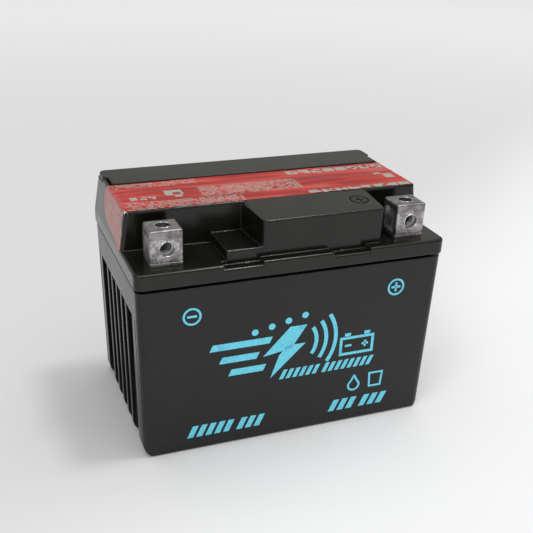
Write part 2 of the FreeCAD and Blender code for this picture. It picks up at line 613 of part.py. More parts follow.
# --- Terminals ----------------------------------------------------------------------------
def ring_z():
    """Height of the O-ring's middle, squeezed between cover and terminal."""
    return POCKET_Z - RING_SECTION


def terminal(side):
    """Cast lead terminal: a box open towards the middle of the battery, on a round shank."""
    x = side * TERMINAL_X
    left = x - TERMINAL_WIDTH / 2
    right = x + TERMINAL_WIDTH / 2
    rear = TERMINAL_FRONT_Y + TERMINAL_DEPTH
    body = box(left, right, TERMINAL_FRONT_Y, rear, TERMINAL_BASE_Z, TERMINAL_TOP_Z)
    body = round_edges(body, TERMINAL_EDGE_RADIUS, lambda edge: edge.BoundBox.ZMax > TERMINAL_BASE_Z + 1)
    inner_end = left if side > 0 else right
    outer_end = x + side * (TERMINAL_WIDTH / 2 - TERMINAL_SIDE)
    open_end = inner_end - side
    space = box(min(open_end, outer_end), max(open_end, outer_end), TERMINAL_FRONT_Y + TERMINAL_WALL,
                rear - TERMINAL_WALL, NUT_PLACE_Z, NUT_SPACE_TOP_Z)
    front_hole = bar(V(0, 1, 0), V(x, TERMINAL_FRONT_Y - 1, FRONT_HOLE_Z), TERMINAL_WALL + 2, HOLE_RADIUS)
    top_hole = post(x, TERMINAL_Y, NUT_SPACE_TOP_Z - 1, TERMINAL_TOP_Z + 1, HOLE_RADIUS)
    line_z = TERMINAL_BASE_Z + FOOT_HEIGHT
    line = box(left - 1, right + 1, TERMINAL_FRONT_Y - 1, TERMINAL_FRONT_Y + FOOT_GROOVE,
               line_z, line_z + FOOT_GROOVE)
    body = body.cut([space, front_hole, top_hole, line])
    return fuse_all([body, post(x, TERMINAL_Y, SHANK_BOTTOM_Z, TERMINAL_BASE_Z, SHANK_RADIUS)])


def terminal_nut(side):
    """Angle nut inside a terminal, threaded for a screw from the front or from the top."""
    pocket_end = side * (TERMINAL_X + TERMINAL_WIDTH / 2 - TERMINAL_SIDE)
    outer = pocket_end - side * NUT_CLEARANCE
    inner = outer - side * NUT_WIDTH
    x0, x1 = min(outer, inner), max(outer, inner)
    y0 = TERMINAL_FRONT_Y + TERMINAL_WALL + NUT_CLEARANCE
    y1 = TERMINAL_FRONT_Y + TERMINAL_DEPTH - TERMINAL_WALL - NUT_CLEARANCE
    z0 = NUT_PLACE_Z + NUT_CLEARANCE
    z1 = NUT_SPACE_TOP_Z - NUT_CLEARANCE
    profile = [(y0, z0), (y0 + NUT_LEG, z0), (y0 + NUT_LEG, z1 - NUT_LEG), (y1, z1 - NUT_LEG),
               (y1, z1), (y0, z1)]
    body = along_x(profile, [0, 0, 0, 0, 0, NUT_CORNER_RADIUS], x0, x1)
    x = side * TERMINAL_X
    front_thread = bar(V(0, 1, 0), V(x, y0 - 1, FRONT_HOLE_Z), NUT_LEG + 1.5, THREAD_RADIUS)
    top_thread = post(x, TERMINAL_Y, z1 - NUT_LEG - NUT_TIP_ROOM, z1 + 1, THREAD_RADIUS)
    return body.cut([front_thread, top_thread])


def o_ring(side):
    """Rubber ring that seals the shank in the cover."""
    centre = V(side * TERMINAL_X, TERMINAL_Y, ring_z())
    return Part.makeTorus(SHANK_RADIUS + RING_SECTION + RING_SEAT_CLEARANCE / 2,
                          RING_SECTION - RING_SEAT_CLEARANCE / 2, centre)


# --- Plate packs --------------------------------------------------------------------------
def pack_layers(index):
    """Kind, left and right X of every plate and separator in a cell, from left to right."""
    layers = []
    x = cell_left(index) + PACK_CLEARANCE
    for place in range(POSITIVE_PLATES + NEGATIVE_PLATES):
        kind = "positive" if place % 2 else "negative"
        thickness = POSITIVE_THICKNESS if place % 2 else NEGATIVE_THICKNESS
        layers.append((kind, x, x + thickness))
        x += thickness
        if place < SEPARATORS:
            layers.append(("separator", x, x + SEPARATOR_THICKNESS))
            x += SEPARATOR_THICKNESS
    return layers


def strap_y(index, kind):
    """Row that a cell's straps lie in; neighbouring cells are turned end for end."""
    at_front = (kind == "negative") == (index % 2 == 0)
    return FRONT_STRAP_Y if at_front else REAR_STRAP_Y


def plates(index, kind):
    """All plates of one polarity in a cell, each with its lug."""
    y = strap_y(index, kind)
    solids = []
    for layer, x0, x1 in pack_layers(index):
        if layer == kind:
            sheet = box(x0, x1, -PLATE_HALF_Y, PLATE_HALF_Y, PLATE_BOTTOM_Z, PLATE_TOP_Z)
            lug = box(x0, x1, y - LUG_WIDTH / 2, y + LUG_WIDTH / 2, PLATE_TOP_Z - 1, STRAP_BOTTOM_Z)
            solids.append(fuse_all([sheet, lug]))
    return Part.makeCompound(solids)


def separators(index):
    """Glass-mat separators between the plates of a cell."""
    half = PLATE_HALF_Y + SEPARATOR_OVERLAP
    solids = []
    for layer, x0, x1 in pack_layers(index):
        if layer == "separator":
            solids.append(box(x0, x1, -half, half, PLATE_BOTTOM_Z, PLATE_TOP_Z + SEPARATOR_RISE))
    return Part.makeCompound(solids)


def strap(index, kind):
    """Cast strap across the lugs, with a tab at the partition or a post under the terminal."""
    y = strap_y(index, kind)
    lugs = [(x0, x1) for layer, x0, x1 in pack_layers(index) if layer == kind]
    left = lugs[0][0]
    right = lugs[-1][1]
    y0, y1 = y - STRAP_WIDTH / 2, y + STRAP_WIDTH / 2
    first = kind == "negative" and index == 0
    last = kind == "positive" and index == CELLS - 1
    if first or last:
        x = TERMINAL_X if last else -TERMINAL_X
        left = min(left, x - POST_RADIUS)
        right = max(right, x + POST_RADIUS)
        body = box(left, right, y0, y1, STRAP_BOTTOM_Z, STRAP_TOP_Z)
        return fuse_all([body, post(x, TERMINAL_Y, STRAP_BOTTOM_Z, SHANK_BOTTOM_Z, POST_RADIUS)])
    tab_top = STRAP_BOTTOM_Z + TAB_HEIGHT
    if kind == "positive":
        right = cell_left(index) + CELL_WIDTH
        tab = box(right - TAB_THICKNESS, right, y0, y1, STRAP_BOTTOM_Z, tab_top)
    else:
        left = cell_left(index)
        tab = box(left, left + TAB_THICKNESS, y0, y1, STRAP_BOTTOM_Z, tab_top)
    return fuse_all([box(left, right, y0, y1, STRAP_BOTTOM_Z, STRAP_TOP_Z), tab])


def intercell_welds():
    """Lead plugs through the partitions that join each cell to the next."""
    welds = []
    for index in range(CELLS - 1):
        x = cell_left(index) + CELL_WIDTH
        y = REAR_STRAP_Y if index % 2 == 0 else FRONT_STRAP_Y
        welds.append(bar(V(1, 0, 0), V(x, y, WELD_Z), PARTITION, WELD_RADIUS))
    return Part.makeCompound(welds)


# --- Parts --------------------------------------------------------------------------------
def main():
    os.makedirs("parts", exist_ok=True)
    save("case", case())
    save("cover", cover())
    save("cap_strip", cap_strip())
    save("flame_arrestors", flame_arrestors())
    save("seal_tape", seal_tape())
    for index in range(CELLS):
        number = str(index + 1)
        save("vent_plug_" + number, vent_plug(index))
        save("safety_valve_" + number, safety_valve(index))
        save("positive_plates_" + number, plates(index, "positive"))
        save("negative_plates_" + number, plates(index, "negative"))
        save("separators_" + number, separators(index))
        save("positive_strap_" + number, strap(index, "positive"))
        save("negative_strap_" + number, strap(index, "negative"))
    save("intercell_welds", intercell_welds())
    for side, name in ((-1, "negative"), (1, "positive")):
        save(name + "_terminal", terminal(side))
        save(name + "_nut", terminal_nut(side))
        save(name + "_o_ring", o_ring(side))


main()
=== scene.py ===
"""Looks of a sealed 12 volt motorcycle battery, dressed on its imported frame.

Metres. X runs along the row of six cells, -Y is the front where the terminals are, and +Z is up.
Places come from the frame's own boxes. The sizes kept here belong to the pieces that this file
adds: the seal tape, the printed marks, the burred rims of the terminals' holes, and the studio.
"""
import logging
import math
from collections.abc import Mapping, Sequence
from dataclasses import dataclass
from enum import Enum
from functools import reduce

import bpy
import numpy as np
from mathutils import Matrix, Vector


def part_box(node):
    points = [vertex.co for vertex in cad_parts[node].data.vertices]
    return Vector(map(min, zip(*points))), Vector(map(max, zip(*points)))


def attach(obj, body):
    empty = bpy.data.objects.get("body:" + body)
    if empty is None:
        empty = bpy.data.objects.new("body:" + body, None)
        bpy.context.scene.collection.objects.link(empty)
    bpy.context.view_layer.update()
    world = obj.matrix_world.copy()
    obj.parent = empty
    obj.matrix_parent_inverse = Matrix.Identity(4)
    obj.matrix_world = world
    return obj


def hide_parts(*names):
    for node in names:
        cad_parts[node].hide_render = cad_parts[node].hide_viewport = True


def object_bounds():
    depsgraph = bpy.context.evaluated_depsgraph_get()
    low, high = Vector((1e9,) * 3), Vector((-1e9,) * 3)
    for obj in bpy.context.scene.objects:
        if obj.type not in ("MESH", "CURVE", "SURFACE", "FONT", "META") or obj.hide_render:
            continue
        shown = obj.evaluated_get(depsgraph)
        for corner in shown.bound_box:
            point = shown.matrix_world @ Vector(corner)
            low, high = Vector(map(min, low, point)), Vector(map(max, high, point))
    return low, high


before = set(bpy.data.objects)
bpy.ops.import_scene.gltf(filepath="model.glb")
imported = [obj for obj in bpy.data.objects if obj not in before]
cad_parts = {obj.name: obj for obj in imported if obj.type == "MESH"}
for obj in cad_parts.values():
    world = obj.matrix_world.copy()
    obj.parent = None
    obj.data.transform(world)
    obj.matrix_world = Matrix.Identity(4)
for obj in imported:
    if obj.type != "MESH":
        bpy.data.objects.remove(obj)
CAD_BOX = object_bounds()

MM = 0.001
LOG = logging.getLogger("battery")
Colour = tuple[float, float, float]
Place = tuple[float, float, float]


# --- Shader maths -------------------------------------------------------------
class Signal:
    """One shader output, on which Python's operators build Math nodes."""

    def __init__(self, graph: "Graph", socket: bpy.types.NodeSocket) -> None:
        """Keep an output socket and the graph that new nodes are added to."""
        self.graph = graph
        self.socket = socket

    def _math(self, operation: str, *values: "Signal | float") -> "Signal":
        """Add a Math node that works on the given values."""
        return self.graph.node("ShaderNodeMath", {"operation": operation}, dict(enumerate(values)))

    def __add__(self, other: "Signal | float") -> "Signal":
        """Sum of two values."""
        return self._math("ADD", self, other)

    def __sub__(self, other: "Signal | float") -> "Signal":
        """Difference of two values."""
        return self._math("SUBTRACT", self, other)

    def __rsub__(self, other: float) -> "Signal":
        """Difference with the number first."""
        return self._math("SUBTRACT", other, self)

    def __mul__(self, other: "Signal | float") -> "Signal":
        """Product of two values."""
        return self._math("MULTIPLY", self, other)

    def __truediv__(self, other: "Signal | float") -> "Signal":
        """Quotient of two values."""
        return self._math("DIVIDE", self, other)

    def __gt__(self, other: "Signal | float") -> "Signal":
        """1 where this value is the larger, and 0 elsewhere."""
        return self._math("GREATER_THAN", self, other)

    def __lt__(self, other: "Signal | float") -> "Signal":
        """1 where this value is the smaller, and 0 elsewhere."""
        return self._math("LESS_THAN", self, other)

    __radd__ = __add__
    __rmul__ = __mul__

    def floor(self) -> "Signal":
        """Whole part."""
        return self._math("FLOOR", self)

    def fraction(self) -> "Signal":
        """What is left above the whole part."""
        return self._math("FRACT", self)

    def largest(self, other: "Signal | float") -> "Signal":
        """The larger of two values."""
        return self._math("MAXIMUM", self, other)

    def between(self, low: float, high: float) -> "Signal":
        """1 from low to high, and 0 outside."""
        return (self > low) * (self < high)

    def ramp(self, low: float, high: float) -> "Signal":
        """Smooth step from 0 at low to 1 at high."""
        settings = {"interpolation_type": "SMOOTHSTEP"}
        return self.graph.node("ShaderNodeMapRange", settings,
                               {"Value": self, "From Min": low, "From Max": high})


class Graph:
    """Nodes of one material, all made by one method."""

    def __init__(self, name: str) -> None:
        """Start an empty material of the given name."""
        self.material = bpy.data.materials.new(name)
        self.material.use_nodes = True
        self.material.node_tree.nodes.clear()

    def add(self, kind: str, settings: Mapping[str, object],
            sockets: Mapping[str | int, object]) -> bpy.types.Node:
        """Add a node, set it up, and fill or link its sockets.

        Args:
            kind: Type of the node.
            settings: Properties of the node, set first.
            sockets: Numbers, colours or Signals by socket name or place.

        Returns:
            The new node.
        """
        tree = self.material.node_tree
        made = tree.nodes.new(kind)
        for name, value in settings.items():
            setattr(made, name, value)
        for key, value in sockets.items():
            if isinstance(value, Signal):
                tree.links.new(value.socket, made.inputs[key])
            else:
                made.inputs[key].default_value = value
        return made

    def node(self, kind: str, settings: Mapping[str, object] | None = None,
             sockets: Mapping[str | int, object] | None = None, output: str | int = 0) -> Signal:
        """Add a node and take one of its outputs.

        Args:
            kind: Type of the node.
            settings: Properties of the node.
            sockets: Numbers, colours or Signals by socket name or place.
            output: Name or place of the output that is wanted.

        Returns:
            The chosen output.
        """
        return Signal(self, self.add(kind, settings or {}, sockets or {}).outputs[output])

    def place(self) -> Signal:
        """Object coordinates, which are the row frame in metres."""
        return self.node("ShaderNodeTexCoord", output="Object")

    def stretched(self, place: Signal, scale: Sequence[float], turn: Sequence[float]) -> Signal:
        """Coordinates turned and scaled, for patterns that run one way.

        Args:
            place: Coordinates to work on.
            scale: Scale along each axis.
            turn: Turn about each axis, in radians.

        Returns:
            The new coordinates.
        """
        return self.node("ShaderNodeMapping", {}, {"Vector": place, "Scale": scale, "Rotation": turn})

    def noise(self, place: Signal, size: float, detail: float = 3.0) -> Signal:
        """Soft noise with features of about a given size in metres."""
        return self.node("ShaderNodeTexNoise", {}, {"Vector": place, "Scale": 1 / size, "Detail": detail})

    def cells(self, place: Signal, size: float) -> Signal:
        """Distance to the nearest of scattered points that lie about a given size apart."""
        return self.node("ShaderNodeTexVoronoi", {}, {"Vector": place, "Scale": 1 / size}, "Distance")

    def mix(self, share: Signal | float, first: object, second: object) -> Signal:
        """Blend of two colours.

        Args:
            share: 0 for the first colour and 1 for the second.
            first: Colour or Signal.
            second: Colour or Signal.

        Returns:
            The blended colour.
        """
        colours = [value if isinstance(value, Signal) else (*value, 1.0) for value in (first, second)]
        return self.node("ShaderNodeMix", {"data_type": "RGBA"},
                         {0: share, 6: colours[0], 7: colours[1]}, 2)

    def rounded(self, radius: float) -> Signal:
        """Surface direction as if every edge had a small radius."""
        return self.node("ShaderNodeBevel", {"samples": 6}, {"Radius": radius})

    def edges(self, radius: float) -> Signal:
        """Nearness to an edge, from 1 less the cosine between the rounded and true directions."""
        true = self.node("ShaderNodeNewGeometry", output="True Normal")
        cosine = self.node("ShaderNodeVectorMath", {"operation": "DOT_PRODUCT"},
                           {0: self.rounded(radius), 1: true}, "Value")
        return (1.0 - cosine).ramp(0.02, 0.3)

    def bump(self, height: Signal, depth: float, normal: Signal) -> Signal:
        """Direction of a surface raised by a height map, on which 1 stands for the depth."""
        return self.node("ShaderNodeBump", {}, {"Height": height, "Distance": depth, "Normal": normal})

    def finish(self, sockets: Mapping[str | int, object]) -> bpy.types.Material:
        """End the material in a Principled shader with the given sockets, and return it."""
        shader = self.node("ShaderNodeBsdfPrincipled", {}, sockets)
        self.add("ShaderNodeOutputMaterial", {}, {"Surface": shader})
        return self.material


# --- Finishes -----------------------------------------------------------------
@dataclass(frozen=True)
class MouldedPlastic:
    """Dark moulded polypropylene with a fine grain, faint flow marks, scuffs, and edges worn by rubbing and
    lightened further as a painted highlight.
    """

    name: str
    colour: Colour
    roughness: float
    grain: float = 0.006 * MM
    grain_size: float = 0.35 * MM
    edge_radius: float = 0.65 * MM
    # Edge colour and its share: partly rubbed plastic, partly a painted highlight along the rounded edges.
    rubbed_and_highlight: Colour = (0.13, 0.13, 0.125)
    wear_and_sheen: float = 0.5

    def material(self) -> bpy.types.Material:
        """Build the material."""
        graph = Graph(self.name)
        place = graph.place()
        flow = graph.noise(graph.stretched(place, (1, 1, 0.35), (0.3, 0, 0.2)), 14 * MM)
        scuffs = graph.noise(graph.stretched(place, (1, 0.04, 1), (0.4, 0.2, 0.9)), 0.5 * MM).ramp(0.68, 0.75)
        # Edges take a lighter colour: real rubbing, and also a painted highlight along them.
        edge_wear_and_highlight = graph.edges(self.edge_radius) * graph.noise(place, 6 * MM).ramp(0.3, 0.6)
        shade = graph.mix(flow.ramp(0.35, 0.7), self.colour, tuple(1.35 * part for part in self.colour))
        colour = graph.mix(edge_wear_and_highlight * self.wear_and_sheen, shade, self.rubbed_and_highlight)
        grain = graph.noise(place, self.grain_size, 2.0)
        roughness = self.roughness + (flow - 0.5) * 0.16 + scuffs * 0.12 + (grain - 0.5) * 0.08
        normal = graph.bump(grain, self.grain, graph.rounded(self.edge_radius))
        return graph.finish({"Base Color": colour, "Roughness": roughness, "Normal": normal,
                             "IOR": 1.44})


@dataclass(frozen=True)
class CastLead:
    """Lead as cast: mottled, dulled in patches, bright where edges were worn by rubbing or struck, and dulled
    over the top as painted shade.
    """

    name: str
    dull: Colour = (0.13, 0.122, 0.126)
    bright: Colour = (0.56, 0.535, 0.54)
    roughness: float = 0.36
    pitting: float = 0.05 * MM
    top_shade_from: float = 80.7 * MM
    top_shade: float = 0.5

    def material(self) -> bpy.types.Material:
        """Build the material."""
        graph = Graph(self.name)
        place = graph.place()
        patches = graph.noise(place, 2.6 * MM, 6.0).ramp(0.4, 0.6)
        mottle = graph.noise(place, 0.6 * MM, 4.0)
        pits = graph.cells(place, 1.1 * MM).ramp(0.0, 0.28)
        scrapes = graph.noise(graph.stretched(place, (1, 1, 0.06), (0.2, 0.9, 0.3)), 0.45 * MM).ramp(0.6, 0.7)
        edges = graph.edges(0.3 * MM)
        height = graph.node("ShaderNodeSeparateXYZ", {}, {0: place}, 2)
        share = (patches * 0.6 + mottle.ramp(0.35, 0.65) * 0.3 + scrapes * 0.2 + 0.15) * pits.ramp(-0.6, 1.0)
        # Painted shade: above a set height the lead is mixed towards its dull colour, so the terminals' tops
        # read darker than their fronts.
        share = share * (1.0 - height.ramp(self.top_shade_from, self.top_shade_from + 0.3 * MM) * self.top_shade)
        colour = graph.mix(edges * 0.8, graph.mix(share, self.dull, self.bright), (0.85, 0.85, 0.84))
        roughness = self.roughness + (mottle - 0.5) * 0.3 - edges * 0.18 - scrapes * 0.12
        relief = mottle * 0.5 + pits * 0.35 + patches * 0.6
        normal = graph.bump(relief, self.pitting, graph.rounded(0.3 * MM))
        return graph.finish({"Base Color": colour, "Roughness": roughness, "Metallic": 0.9,
                             "Normal": normal})


@dataclass(frozen=True)
class PlatedSteel:
    """Bright plating with faint rainbow patches and fine drawing lines."""

    name: str
    colour: Colour = (0.8, 0.83, 0.88)
    tint: Colour = (0.74, 0.71, 0.8)

    def material(self) -> bpy.types.Material:
        """Build the material."""
        graph = Graph(self.name)
        place = graph.place()
        patches = graph.noise(place, 2.0 * MM).ramp(0.4, 0.65)
        lines = graph.noise(graph.stretched(place, (0.05, 1, 1), (0, 0, 0)), 0.18 * MM)
        normal = graph.bump(lines, 0.006 * MM, graph.rounded(0.6 * MM))
        return graph.finish({"Base Color": graph.mix(patches, self.colour, self.tint),
                             "Roughness": 0.26 + lines * 0.2, "Metallic": 0.9, "Normal": normal})


class Texture(Enum):
    """Surface of the plainer materials inside the battery."""

    RUBBER = "rubber"
    PASTE = "paste"
    FIBRE = "fibre"
    POROUS = "porous"


@dataclass(frozen=True)
class InnerFinish:
    """Matte finish of a hidden piece, with the texture of its material."""

    name: str
    texture: Texture
    colour: Colour
    accent: Colour
    roughness: float = 0.8

    def material(self) -> bpy.types.Material:
        """Build the material."""
        graph = Graph(self.name)
        place = graph.place()
        match self.texture:
            case Texture.RUBBER:
                height = graph.noise(place, 0.3 * MM, 2.0)
                depth = 0.01 * MM
            case Texture.PASTE:
                height = graph.noise(place, 0.6 * MM, 5.0) * 0.6 + graph.cells(place, 2.5 * MM) * 0.4
                depth = 0.12 * MM
            case Texture.FIBRE:
                threads = graph.stretched(place, (1, 0.08, 1), (0.5, 0.3, 0.2))
                height = graph.noise(threads, 0.25 * MM, 4.0)
                depth = 0.06 * MM
            case Texture.POROUS:
                height = graph.cells(place, 0.35 * MM)
                depth = 0.1 * MM
        colour = graph.mix(height.ramp(0.3, 0.75), self.colour, self.accent)
        normal = graph.bump(height, depth, graph.rounded(0.15 * MM))
        return graph.finish({"Base Color": colour, "Roughness": self.roughness, "Normal": normal})


@dataclass(frozen=True)
class PrintInk:
    """Screen ink: flat colour, slightly thin in places, with a soft shine."""

    name: str
    colour: Colour
    thin: Colour

    def material(self) -> bpy.types.Material:
        """Build the material."""
        graph = Graph(self.name)
        place = graph.place()
        cover = graph.noise(place, 0.4 * MM, 3.0).ramp(0.3, 0.5) * graph.noise(place, 5 * MM).ramp(0.2, 0.45)
        normal = graph.bump(cover, 0.004 * MM, graph.rounded(0.02 * MM))
        return graph.finish({"Base Color": graph.mix(cover, self.thin, self.colour),
                             "Roughness": 0.5 - cover * 0.1, "Normal": normal})


Zone = tuple[float, float, float, float]


@dataclass(frozen=True)
class PrintGrid:
    """Rows of small broken marks in some zones of the tape, in millimetres from its fold and front edge."""

    step: float
    row: float
    gaps: float
    seed: float
    zones: tuple[Zone, ...]
    fill: float = 0.78
    strokes: int = 3

    def mask(self, graph: Graph, along: Signal, across: Signal) -> Signal:
        """Where the marks are printed.

        With c = along / step and r = across / row, a mark fills the middle of each whole cell (c, r).
        White noise on the cell leaves some out, like gaps between words, and white noise on its
        thirds breaks each mark up.

        Args:
            graph: Graph to add the nodes to.
            along: Distance from the fold, in millimetres.
            across: Distance from the front edge, in millimetres.

        Returns:
            1 on a mark and 0 elsewhere.
        """
        column, row = along / self.step, across / self.row
        drawn = self.draw(graph, column, row, self.seed) > self.gaps
        stroke = self.draw(graph, column * self.strokes, row * self.strokes, self.seed + 0.5) > 0.3
        dash = row.fraction().between(0.5 - self.fill / 2, 0.5 + self.fill / 2)
        letter = column.fraction() < self.fill
        inside = reduce(Signal.largest, (self.inside(zone, along, across) for zone in self.zones))
        return inside * drawn * stroke * dash * letter

    def inside(self, zone: Zone, along: Signal, across: Signal) -> Signal:
        """1 inside a zone, given as its ends along the tape and then across it."""
        left, right, low, high = zone
        return along.between(left, right) * across.between(low, high)

    def draw(self, graph: Graph, column: Signal, row: Signal, seed: float) -> Signal:
        """White noise that holds one value over each whole cell.

        Args:
            graph: Graph to add the nodes to.
            column: Place along the row, counted in cells.
            row: Place across the rows, counted in cells.
            seed: Seed of the noise.

        Returns:
            Value from 0 to 1.
        """
        cell = graph.node("ShaderNodeCombineXYZ", {}, {0: column.floor(), 1: row.floor(), 2: seed})
        return graph.node("ShaderNodeTexWhiteNoise", {}, {"Vector": cell})


@dataclass(frozen=True)
class TapeFilm:
    """Red film with pale printed dashes, a painted pink sheen along some streaks, and a painted glare over
    the hanging flap.
    """

    name: str
    width: float
    red: Colour = (0.5, 0.022, 0.013)
    deep: Colour = (0.3, 0.003, 0.002)
    painted_sheen: Colour = (0.5, 0.2, 0.19)
    ink: Colour = (0.35, 0.4, 0.36)
    grids: tuple[PrintGrid, ...] = (
        PrintGrid(0.8, 1.5, 0.16, 1.0,
                  ((0.5, 31.0, 22.4, 27.3), (0.5, 42.0, 0.2, 7.0), (29.0, 66.5, 8.0, 18.6))),
        PrintGrid(3.3, 4.3, 0.0, 2.0, ((2.6, 13.2, 8.6, 12.9), (-13.5, -1.5, 0.0, 26.0))),
        PrintGrid(8.2, 8.8, 0.0, 4.0, ((16.4, 24.6, 8.8, 17.6), (98.4, 106.6, 8.8, 17.6))),
        PrintGrid(5.1, 4.5, 0.0, 7.0, ((65.5, 106.4, 22.5, 27.0), (66.0, 106.4, 0.0, 4.0)), 0.86),
    )

    def material(self) -> bpy.types.Material:
        """Build the material on the tape's own UV map, which counts in tape widths."""
        graph = Graph(self.name)
        flat = graph.node("ShaderNodeUVMap", {"uv_map": "tape"})
        split = [graph.node("ShaderNodeSeparateXYZ", {}, {0: flat}, side) for side in (0, 1)]
        along = split[0] * self.width
        across = split[1] * self.width
        level = across + along * 0.012
        printed = reduce(Signal.largest, (grid.mask(graph, along, level) for grid in self.grids))
        wear_and_sheen = graph.noise(graph.place(), 0.7 * MM, 4.0)
        streaks = graph.noise(graph.stretched(flat, (0.7, 5.0, 1), (0, 0, 0)), 0.8, 4.0)
        flap = 1.0 - along.ramp(-3.0, 1.5)
        film = graph.mix(streaks.ramp(0.38, 0.58), self.deep, self.red)
        # Painted sheen: pink along some streaks, and a painted glare over the flap, broken up by noise.
        film = graph.mix((streaks.ramp(0.5, 0.7) * 0.5 + flap * 0.8) * wear_and_sheen.ramp(0.1, 0.6), film, self.painted_sheen)
        # The ink is paled on the flap under the same painted glare.
        ink = printed * (wear_and_sheen.ramp(0.3, 0.5) * 0.4 + 0.55) * (1.0 - flap * 0.3)
        colour = graph.mix(ink, film, self.ink)
        roughness = 0.2 + streaks * 0.35 + printed * 0.12
        normal = graph.bump(wear_and_sheen * 0.5 + printed * 0.5, 0.012 * MM, graph.rounded(0.05 * MM))
        return graph.finish({"Base Color": colour, "Roughness": roughness, "Normal": normal, "IOR": 1.4})


@dataclass(frozen=True)
class StudioPaper:
    """Pale seamless paper, with painted shade: a softly darker stretch behind the battery."""

    name: str
    pale: Colour = (0.9, 0.905, 0.93)
    shaded: Colour = (0.69, 0.695, 0.715)

    def material(self) -> bpy.types.Material:
        """Build the material."""
        graph = Graph(self.name)
        place = graph.place()
        x, y = (graph.node("ShaderNodeSeparateXYZ", {}, {0: place}, side) for side in (0, 1))
        distance = graph.node("ShaderNodeVectorMath", {"operation": "LENGTH"}, {0: place}, "Value")
        shade = (y - x * 0.8).ramp(-0.09, 0.07) * (1.0 - distance.ramp(0.25, 1.3))
        tooth = graph.noise(place, 0.8 * MM, 2.0)
        flat = graph.node("ShaderNodeNewGeometry", output="Normal")
        return graph.finish({"Base Color": graph.mix(shade, self.pale, self.shaded),
                             "Roughness": 0.55 + tooth * 0.1, "Normal": graph.bump(tooth, 0.01 * MM, flat)})


# --- Mesh helpers -------------------------------------------------------------
def grid_faces(rows: int, columns: int, wrap: bool = False) -> np.ndarray:
    """Quads of a grid whose vertices run along its columns first.

    Vertex (i, j) is i * columns + j, and its quad joins (i, j), (i, j + 1), (i + 1, j + 1)
    and (i + 1, j).

    Args:
        rows: Vertices down the grid.
        columns: Vertices across it.
        wrap: Whether the last column joins the first.

    Returns:
        Vertex numbers, four to a face.
    """
    i, j = np.meshgrid(np.arange(rows - 1), np.arange(columns if wrap else columns - 1), indexing="ij")
    beside = (j + 1) % columns
    corners = (i * columns + j, i * columns + beside, (i + 1) * columns + beside, (i + 1) * columns + j)
    return np.stack(corners, -1).reshape(-1, 4)


def make_object(name: str, vertices: np.ndarray, faces: np.ndarray | list[list[int]],
                smooth: bool = True) -> bpy.types.Object:
    """Object at the origin from vertices and faces.

    Args:
        name: Name of the piece.
        vertices: Places in the row frame, in metres.
        faces: Vertex numbers of each face.
        smooth: Whether the faces shade as one smooth surface.

    Returns:
        The new object.
    """
    mesh = bpy.data.meshes.new(name)
    mesh.from_pydata(vertices.reshape(-1, 3).tolist(), [], [list(face) for face in faces])
    mesh.polygons.foreach_set("use_smooth", [smooth] * len(mesh.polygons))
    mesh.update()
    made = bpy.data.objects.new(name, mesh)
    bpy.context.scene.collection.objects.link(made)
    return made


def thicken(piece: bpy.types.Object, thickness: float) -> None:
    """Give a sheet a thickness behind its front side."""
    wall = piece.modifiers.new("thickness", "SOLIDIFY")
    wall.thickness = thickness
    wall.offset = -1.0


def dress(piece: bpy.types.Object, material: bpy.types.Material) -> None:
    """Put one material on a whole piece."""
    piece.data.materials.clear()
    piece.data.materials.append(material)


def dress_nodes(names: Sequence[str], material: bpy.types.Material) -> None:
    """Put one material on each of several CAD nodes."""
    for name in names:
        dress(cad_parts[name], material)
    LOG.info("%s on %d CAD nodes: %s", material.name, len(names), names[0])


def numbered(stem: str) -> list[str]:
    """CAD nodes that share a stem and differ by cell number."""
    return sorted(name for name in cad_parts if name.rsplit("_", 1)[0] == stem)


def along_line(points: Sequence[tuple[float, float]], count: int) -> np.ndarray:
    """Points spread evenly over a line's length.

    Args:
        points: Corners of the line.
        count: How many points to spread.

    Returns:
        Places on the line, one row each.
    """
    corners = np.array(points, float)
    run = np.concatenate([[0.0], np.cumsum(np.hypot(*np.diff(corners, axis=0).T))])
    wanted = np.linspace(0.0, run[-1], count)
    return np.stack([np.interp(wanted, run, corners[:, axis]) for axis in (0, 1)], -1)


def jagged(random: np.random.Generator, spread: float, count: int, window: int) -> np.ndarray:
    """Random offsets along an edge, each the mean of several draws so that they run together.

    Args:
        random: Source of the draws.
        spread: Spread of one draw.
        count: How many offsets.
        window: Draws in each mean.

    Returns:
        The offsets.
    """
    draws = random.normal(0, spread, count + window - 1)
    return np.convolve(draws, np.ones(window) / window, "valid")


# --- Case and cover -----------------------------------------------------------
@dataclass
class Housing:
    """Case and cover: moulded black plastic, a touch smoother on the cover."""

    case_finish: MouldedPlastic = MouldedPlastic("case_plastic", (0.004, 0.004, 0.0043), 0.27)
    cover_finish: MouldedPlastic = MouldedPlastic("cover_plastic", (0.0055, 0.0055, 0.004), 0.2)

    def build(self) -> None:
        """Dress both shells."""
        dress_nodes(["case"], self.case_finish.material())
        dress_nodes(["cover"], self.cover_finish.material())


@dataclass
class CapStrip:
    """Cap strip with its plugs, valves and discs."""

    finish: MouldedPlastic = MouldedPlastic("strip_plastic", (0.0055, 0.0055, 0.004), 0.32)

    def build(self) -> None:
        """Dress the strip's CAD nodes."""
        plastic = self.finish.material()
        dress_nodes(["cap_strip"] + numbered("vent_plug"), plastic)
        rubber = InnerFinish("rubber", Texture.RUBBER, (0.012, 0.012, 0.012), (0.03, 0.03, 0.03), 0.6)
        dress_nodes(numbered("safety_valve") + ["negative_o_ring", "positive_o_ring"], rubber.material())
        disc = InnerFinish("porous_disc", Texture.POROUS, (0.55, 0.53, 0.48), (0.82, 0.8, 0.75), 0.9)
        dress_nodes(["flame_arrestors"], disc.material())


